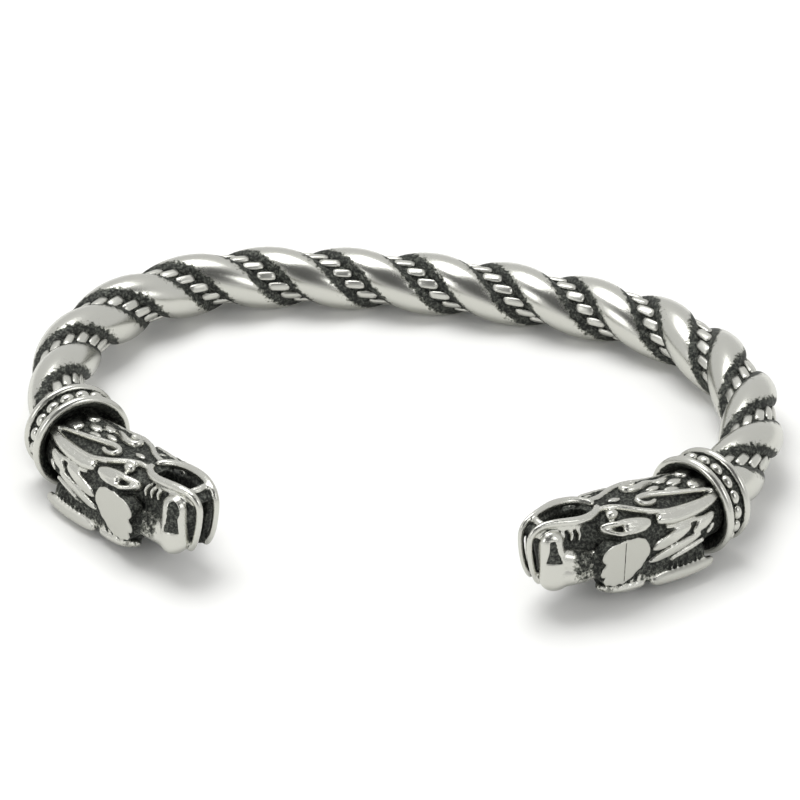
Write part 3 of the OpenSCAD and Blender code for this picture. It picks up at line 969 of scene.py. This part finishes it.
def sideClay(cast, inner):
    # everything raised on one side, drawn as an outer side; the side by the wrist is a little flatter
    part = Clay()
    for label, rows in ridges.items():
        if inner and label in flatter:
            behind, ahead = flatter[label]
            rows = [
                (u, angle, wide, high * (ahead if u > head["curl"] else behind))
                for u, angle, wide, high in rows]
        part.ridge(rows)
    for row in sideLeaves + pairedTopLeaves:
        part.leaf(*row)
    part.pipe(lipRows, (0, 0, 1), 90)
    below, thinner = head["lipRoot"]
    part.pipe([(u, v, w - below, radius - thinner) for u, v, w, radius in lipRows[3:8]], (0, 0, 1), 40)
    part.pipe(beardRows, (0, 0.7, -0.7), 50, 0.9)
    part.pipe(jawRows, (0, 0.7, -0.7), 40, 0.9)
    # row of hairs over the web, down to the beard
    begins = head["hairBegins"]
    for u, v, w, radius in smoothRows(beardRows[1:] + jawRows[:2], head["hairs"]):
        high, low = skinAt(u, *head["hairTop"]), np.array((u, v, w + radius)) + head["hairFoot"]
        part.capsule((1 - begins) * high + begins * low, low, *head["hairRadii"], 8)
    angle, lift, radii = head["innerEye" if inner else "eye"]
    part.ball(skinAt(cast["eye"], angle, lift), radii)
    part.loft([[(x, v, z) for x, z in plateOutline] for v in (head["plateBack"], head["plateLevel"])])
    # bulge beside the mouth, and the neck behind it in two bars: their starts lie back, up and thinner
    size = head["inner"] if inner else 1.0
    rows = [cast[k] for k in ("bulgeTop", "bulgeFoot", "neck")]
    top, foot, neck = [(u, size * v, w, size * radius) for u, v, w, radius in rows]
    part.capsule(top[:3], foot[:3], top[3], foot[3])
    for back, up, thinner in ((0.2, 0.3, 0), (0.3, cast["neckRise"], 0.15)):
        part.capsule((foot[0] - back, foot[1], foot[2] + up), neck[:3], foot[3] - thinner, neck[3])
    for ahead, middle in head["wrinkles"]:
        widths = (head["wrinkleEnd"], middle, middle, head["wrinkleEnd"])
        place = cast["wrinkle"] + ahead
        rows = [(place + d, angle, wide, high) for (d, angle, high), wide in zip(wrinkleRows, widths)]
        part.ridge(rows, 20)
    (u, v, w), (step, rise) = head["tooth"], head["toothStep"]
    for i in range(head["teeth"]):
        part.ball((u + step * i, v, w + rise * (i % 2)), head["toothRadii"])
    return part


def cutter(name, rings):
    clay = Clay()
    clay.loft(rings)
    made = meshObject(name, clay.verts, clay.faces)
    turnOut(made.data)
    return made


def mouthCutters():
    # the oval hole on top, and the slot that runs from it down the whole front
    middle, long, wide, floor = head["hole"]
    start, half, top = head["slot"]
    ahead, below, above = head["clear"]
    turns = [2 * math.pi * i / 40 for i in range(40)]
    oval = [
        (middle + long * math.cos(a), (wide - head["holeTaper"] * math.cos(a)) * math.sin(a)) for a in turns]
    hole = cutter("mouthHole", [[(x, v, w) for x, v in oval] for w in (floor, above)])
    slot = cutter("mouthSlot", [
        [(x, -half, below), (x, half, below), (x, half, top), (x, -half, top)] for x in (start, ahead)])
    return [hole, slot]


def plateLine():
    # the hairline that crosses the right plate
    inner, outer = head["plateLevel"] - head["lineDeep"], 5.0
    top, foot = head["lineHalf"]
    return cutter("plateLine", [
        [(head["line"] + d, v, z) for d, v in ((-top, outer), (top, outer), (foot, inner), (-foot, inner))]
        for z in head["lineEnds"]])


def voxelUnion(piece):
    modifier = piece.modifiers.new("union", "REMESH")
    modifier.mode = "VOXEL"
    modifier.voxel_size = head["voxel"]
    return flatten(piece, piece.name)


def carve(piece, tools):
    for tool in tools:
        modifier = piece.modifiers.new("cut", "BOOLEAN")
        modifier.operation = "DIFFERENCE"
        modifier.solver = "MANIFOLD"
        modifier.object = tool
        piece = flatten(piece, piece.name)
        bpy.data.objects.remove(tool)
    return piece


def neighbourMean(points, edges, rounds):
    count = np.bincount(edges.ravel(), minlength=len(points)).astype(float)[:, None]
    for _ in range(rounds):
        total = np.zeros_like(points)
        for k in range(3):
            total[:, k] = np.bincount(edges[:, 0], points[edges[:, 1], k], len(points))
            total[:, k] += np.bincount(edges[:, 1], points[edges[:, 0], k], len(points))
        points = 0.5 * points + 0.5 * total / np.maximum(count, 1)
    return points


def heightsOver(tree, points):
    # height of each point over the bare skull, below it if negative
    heights = np.empty(len(points))
    for i, p in enumerate(points):
        near, normal, _, gap = tree.find_nearest(p)
        heights[i] = gap if (Vector(p) - near).dot(normal) > 0 else -gap
    return heights


def headCasting(name, cast, marked):
    # the whole head as one skin, and the bare skull to measure heights from
    clay = skullSolid()
    clay.loft(webRings(1))
    clay.loft(webRings(-1))
    bare = voxelUnion(meshObject(name + "Bare", clay.verts, clay.faces))
    ground = BVHTree.FromObject(bare, bpy.context.evaluated_depsgraph_get())
    bpy.data.objects.remove(bare)
    for row in topLeaves + bellyLeaves:
        clay.leaf(*row)
    u, half, w, radius = head["bar"]
    rows = [(u, -half, w, radius), (u + head["barBow"], 0, w, radius), (u, half, w, radius)]
    clay.pipe(rows, (0, 0, 1), 16)
    for sign in (1, -1):
        side = sideClay(cast, sign < 0)
        start = len(clay.verts)
        clay.verts += [(x, sign * v, w) for x, v, w in side.verts]
        clay.faces += [tuple(start + k for k in f[::sign]) for f in side.faces]
    piece = voxelUnion(meshObject(name, clay.verts, clay.faces))
    piece = voxelUnion(carve(piece, mouthCutters()))
    soft = piece.modifiers.new("soften", "SMOOTH")
    soft.factor = 0.5
    soft.iterations = head["soften"]
    piece = flatten(piece, name)
    return (carve(piece, [plateLine()]) if marked else piece), ground


def blackOn(points, height, hollow):
    # the black stays where the casting is low or hollow, in the mouth, round the plates and on the necks
    along, side, up = points.T
    outer = np.abs(side)
    soot = np.maximum(1 - smoothStep(*black["skin"], height), smoothStep(*black["hollow"], hollow))
    middle, long, wide, _ = head["hole"]
    alongRim, sideRim = black["holeRim"]
    inHole = np.hypot((along - middle) / (long + alongRim), outer / (wide + sideRim)) < 1
    soot = np.where(inHole, np.maximum(soot, 1 - smoothStep(*black["holeTop"], up)), soot)
    middle, level, halfLong, halfTall = black["plateWall"]
    atBack, atFace = black["plateIn"]
    nearPlate = np.hypot((along - middle) / halfLong, (up - level) / halfTall) < 1
    onWall = (outer > head["plateBack"] + atBack) & (outer < head["plateLevel"] - atFace)
    soot = np.where(nearPlate & onWall, 1, soot)
    middle, long, most = black["neck"]
    least, highest = black["neckBounds"]
    onNeck = (outer > least) & (up < highest)
    grown = 0.5 + 0.5 * smoothStep(*black["neckFoot"], up)
    near = 1 - smoothStep(*black["neckEnds"], np.abs(along - middle) / long)
    return np.maximum(soot, most * near * onNeck * grown)


def dentAndPaintedReflectionOn(points, cast):
    # the dent in each bulge, and the painted dark reflection that fills it black: 1 inside it, 0 outside
    along, side, up = points.T
    place, level, half, _ = head["dentAndPaintedReflection"]
    tall = (up - level) / cast["dentTall"]
    wide = half * np.interp(tall, (-1, 0, 1), cast["dentWidths"])
    across = np.abs(along - place - head["dentSlant"] * (up - level)) / wide
    inside = 1 - smoothStep(*head["dentEdge"], np.maximum(across, np.abs(tall)))
    return inside * smoothStep(*head["dentFrom"], np.abs(side))


def worn(points, cast, dentAndPaintedReflection):
    # presses the dents in, and bends and narrows the snout as this casting's is
    moved = points.copy()
    moved[:, 1] -= np.sign(points[:, 1]) * head["dentAndPaintedReflection"][3] * dentAndPaintedReflection
    tip = smoothStep(*head["bent"], points[:, 0])
    moved[:, 0] += cast["reach"] * tip
    moved[:, 1] *= 1 + (cast["spread"] - 1) * smoothStep(*head["narrowed"], points[:, 0])
    moved[:, 2] += cast["lift"] * tip
    return moved


def makeHead(name, mirrored, rise, marked, node):
    cast = casting["left" if mirrored else "right"]
    piece, ground = headCasting(name, cast, marked)
    mesh = piece.data
    points = pointsOf(mesh)
    normals = rowsOf(mesh.vertices, "normal", 3).astype(float)
    edges = rowsOf(mesh.edges, "vertices", 2, np.int32)
    hollow = ((neighbourMean(points, edges, black["hollowRounds"]) - points) * normals).sum(1)
    soot = blackOn(points, heightsOver(ground, points), hollow)
    dentAndPaintedReflection = dentAndPaintedReflectionOn(points, cast)
    level, side = head["plateLevel"], points[:, 1]
    onPlate = smoothStep(*(level - d for d in black["plateEdge"]), np.abs(side))
    if marked:
        half, high, deep = black["line"]
        line = (np.abs(points[:, 0] - head["line"]) < half) & (side < level - high)
        onPlate = np.where(line & (side > 0), 0, onPlate)
        soot = np.where(line & (side > level - deep), 1, soot)
    mesh.vertices.foreach_set("co", worn(points, cast, dentAndPaintedReflection).ravel().astype(np.float32))
    # the dent is painted full black over the antiquing: a painted dark reflection on the bulge
    setShare(mesh, "soot", np.maximum(soot * (1 - onPlate), dentAndPaintedReflection))
    setShare(mesh, "satin", onPlate)
    mesh.materials.clear()
    mesh.materials.append(headSteel)
    place = endMatrix(headPlace["turn"], headPlace["out"], rise)
    settle(piece, laid @ (mirrorX if mirrored else Matrix()) @ place, "head", node)


makeHead("headLeft", True, headPlace["riseLeft"], False, "head_left")
makeHead("headRight", False, headPlace["riseRight"], True, "head_right")

# Camera, as the photo was taken

shot = {
    "elevation": 32.2,       # over the hoop's plane
    "azimuth": 7.2,
    "roll": 2.0,
    "distance": 558.0,
    "aim": (0.0, -1.3, 0.0),  # point of the hoop's frame that it looks at
    "pixelsPerMm": 10.0,
    "pictureWidth": 800,
    "offset": (5.0, 0.5),    # of the aim from the picture's middle, in pixels
    "sensor": 36.0,
    "clip": (0.01, 10.0),    # in metres
}


def makeCamera():
    e, a, r = (math.radians(shot[k]) for k in ("elevation", "azimuth", "roll"))
    back = Vector((math.sin(a) * math.cos(e), -math.cos(a) * math.cos(e), math.sin(e)))
    right = Vector((math.cos(a), math.sin(a), 0))
    up = back.cross(right)
    across = math.cos(r) * right + math.sin(r) * up
    upright = -math.sin(r) * right + math.cos(r) * up
    turn = Matrix((across, upright, back)).transposed().to_4x4()
    place = Matrix.Translation(Vector(shot["aim"]) + shot["distance"] * back)
    data = bpy.data.cameras.new("photoCamera")
    camera = newObject("photoCamera", data)
    stand = laid @ place @ turn
    camera.matrix_world = Matrix.Translation(stand.translation) @ stand.to_quaternion().to_matrix().to_4x4()
    focal = shot["pixelsPerMm"] * shot["distance"]
    data.sensor_width = shot["sensor"]
    data.lens = shot["sensor"] * focal / shot["pictureWidth"]
    data.shift_x = -shot["offset"][0] / shot["pictureWidth"]
    data.shift_y = shot["offset"][1] / shot["pictureWidth"]
    data.clip_start, data.clip_end = shot["clip"]
    bpy.context.scene.camera = camera


makeCamera()

# Floor and studio light

studio = {
    "floorHalf": 1.5,
    "world": 0.85,
    "darkSide": (0.08, -0.64, 0.764),  # direction of the room's dark side, in front of the ring
    "darkness": 0.12,
    "darkEdges": (0.64, 0.93),         # cosines of the angles from there at which it begins and is full
    "key": {"place": (-0.1, 0.08, 0.44), "size": (0.34, 0.26), "power": 1.3},
    "fill": {"place": (0.35, -0.25, 0.3), "size": (0.2, 0.2), "power": 0.35},
    "front": {"place": (-0.3, -0.35, 0.22), "size": (0.16, 0.2), "power": 0.3},
}


def makeLight(name, setup):
    data = bpy.data.lights.new(name, "AREA")
    data.shape = "RECTANGLE"
    data.size, data.size_y = setup["size"]
    data.energy = setup["power"]
    light = newObject(name, data)
    light.location = setup["place"]
    light.rotation_mode = "QUATERNION"
    light.rotation_quaternion = Vector(setup["place"]).to_track_quat("Z", "Y")


half = studio["floorHalf"]
corners = [(x * half, y * half, 0) for x, y in ((-1, -1), (1, -1), (1, 1), (-1, 1))]
floor = meshObject("floor", corners, [(0, 1, 2, 3)])
floor.data.materials.append(cardMaterial())
for lightName in ("key", "fill", "front"):
    makeLight(lightName, studio[lightName])


def makeWorld():
    # white room with one dark side, which the polished metal mirrors
    world = bpy.data.worlds.new("studio")
    bpy.context.scene.world = world
    world.use_nodes = True
    tree = world.node_tree
    place = addNode(tree, "ShaderNodeTexCoord")
    toward = addNode(tree, "ShaderNodeVectorMath", {
        0: place.outputs["Generated"], 1: studio["darkSide"]}, operation="DOT_PRODUCT")
    begins, full = studio["darkEdges"]
    strength = addNode(tree, "ShaderNodeMapRange", {
        "Value": toward.outputs["Value"], "From Min": begins, "From Max": full,
        "To Min": studio["world"], "To Max": studio["darkness"]}, interpolation_type="SMOOTHSTEP")
    room = tree.nodes["Background"]
    room.inputs["Color"].default_value = (1, 1, 1, 1)
    tree.links.new(strength.outputs["Result"], room.inputs["Strength"])


makeWorld()
bpy.context.scene.view_settings.view_transform = "Standard"  # a catalogue cut-out has hard whites and blacks
